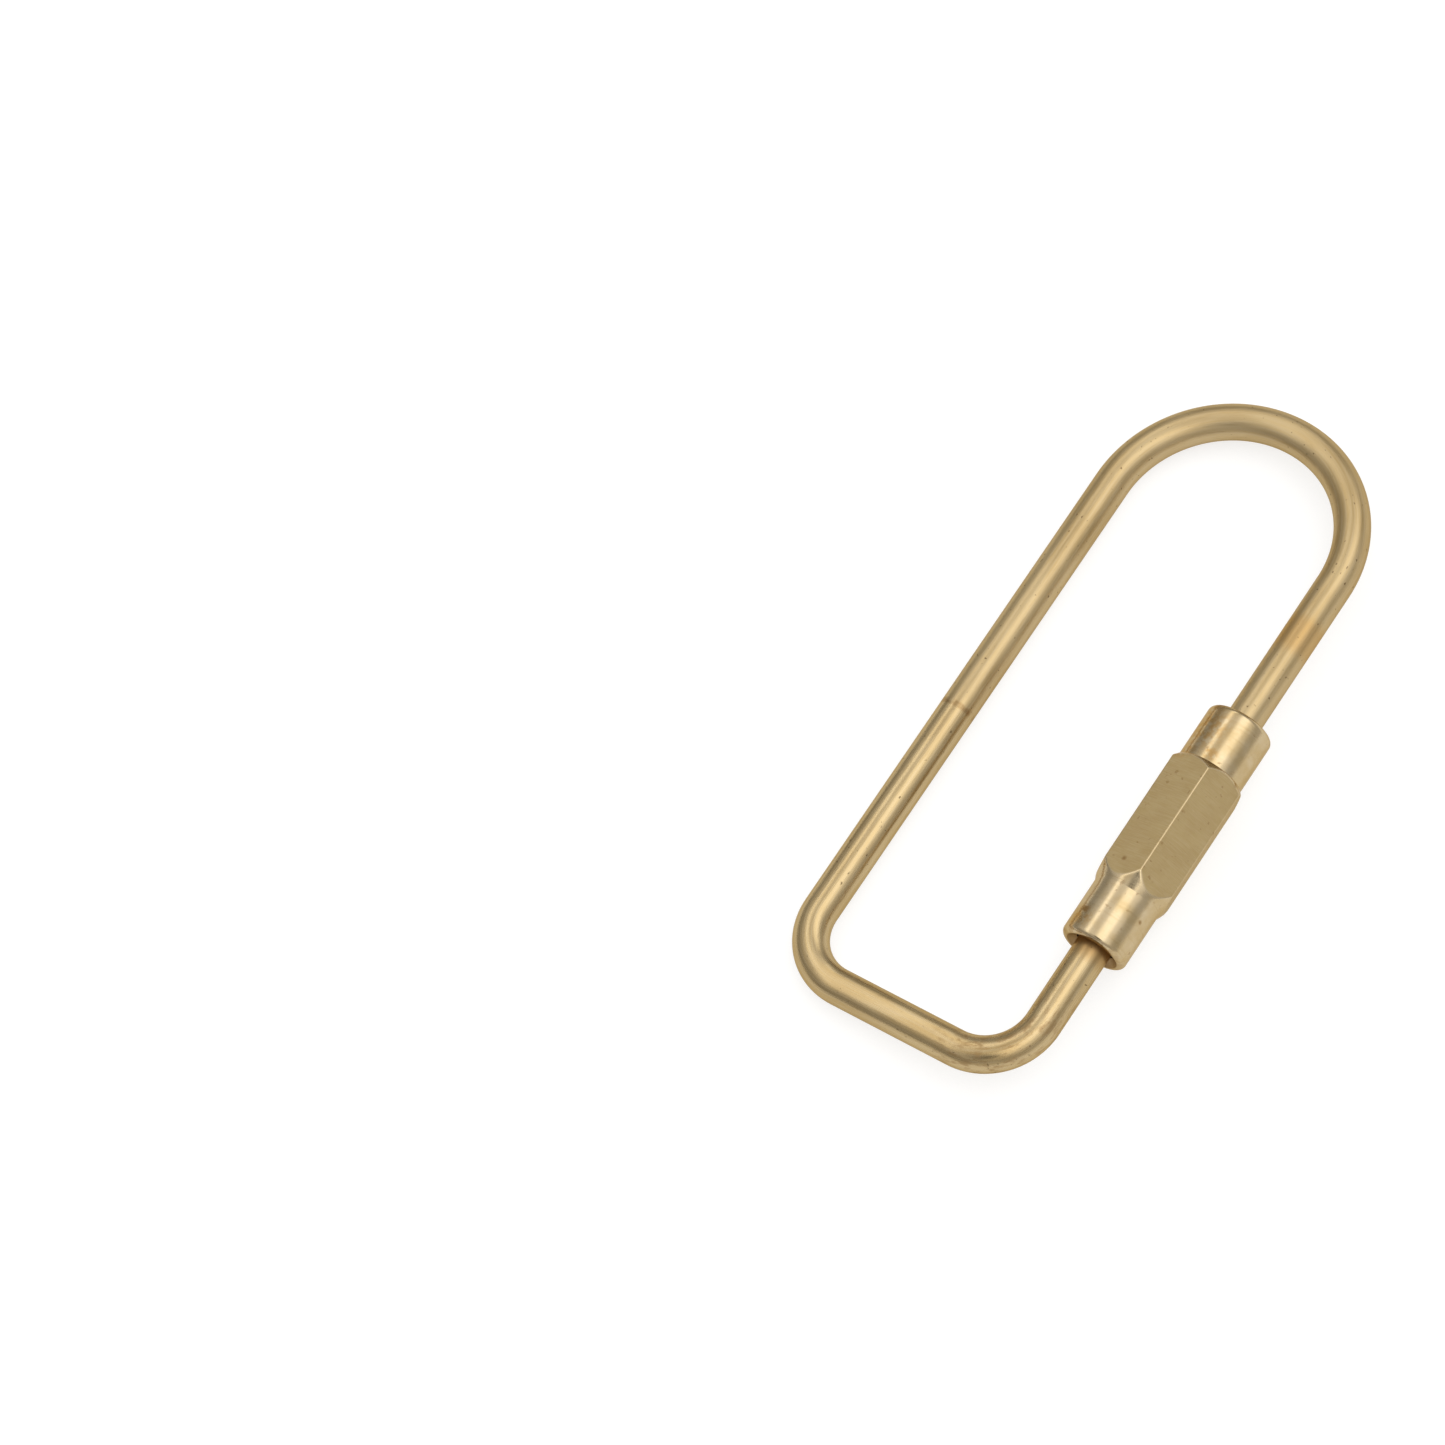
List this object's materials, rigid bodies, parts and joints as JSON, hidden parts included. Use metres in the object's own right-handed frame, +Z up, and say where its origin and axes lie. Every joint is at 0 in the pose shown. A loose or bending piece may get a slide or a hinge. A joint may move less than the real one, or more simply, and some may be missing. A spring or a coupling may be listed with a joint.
{
  "type": "screw-lock key ring",
  "caption": "Oblong key ring bent from round brass rod, closed by a hexagonal screw sleeve that travels along one leg to open it.",
  "frame": {"origin": "middle of the base of the bounding box, on the surface that the ring lies on", "axes": "+X along the ring from the crossbar to the round bow, +Y from the sleeve's leg to the plain leg, +Z up"},
  "size_m": [0.062, 0.0258, 0.007],
  "materials": {
    "satin_brass_rod": "drawn satin brass rod, lightly tarnished",
    "turned_brass_sleeve": "bright turned collars and matt brushed hexagon flats",
    "plain_brass_bush": "plain turned brass"
  },
  "bodies": {
    "loop": {"wire_loop": "satin_brass_rod"},
    "bush": {"guide_bush": "plain_brass_bush"},
    "sleeve": {"hex_sleeve": "turned_brass_sleeve"}
  },
  "joints": [
    {"name": "sleeve_travel", "type": "slide", "parent": "loop", "child": "bush", "axis": [1, 0, 0], "range_m": [0, 0.009]},
    {"name": "sleeve_turn", "type": "hinge", "parent": "bush", "child": "sleeve", "pos_m": [-0.0062, -0.00952, 0.00348], "axis": [1, 0, 0], "range_deg": [0, 4320]}
  ],
  "couplings": [
    {"joint": "sleeve_turn", "follows": "sleeve_travel", "rad_per_m": 8377.6}
  ]
}
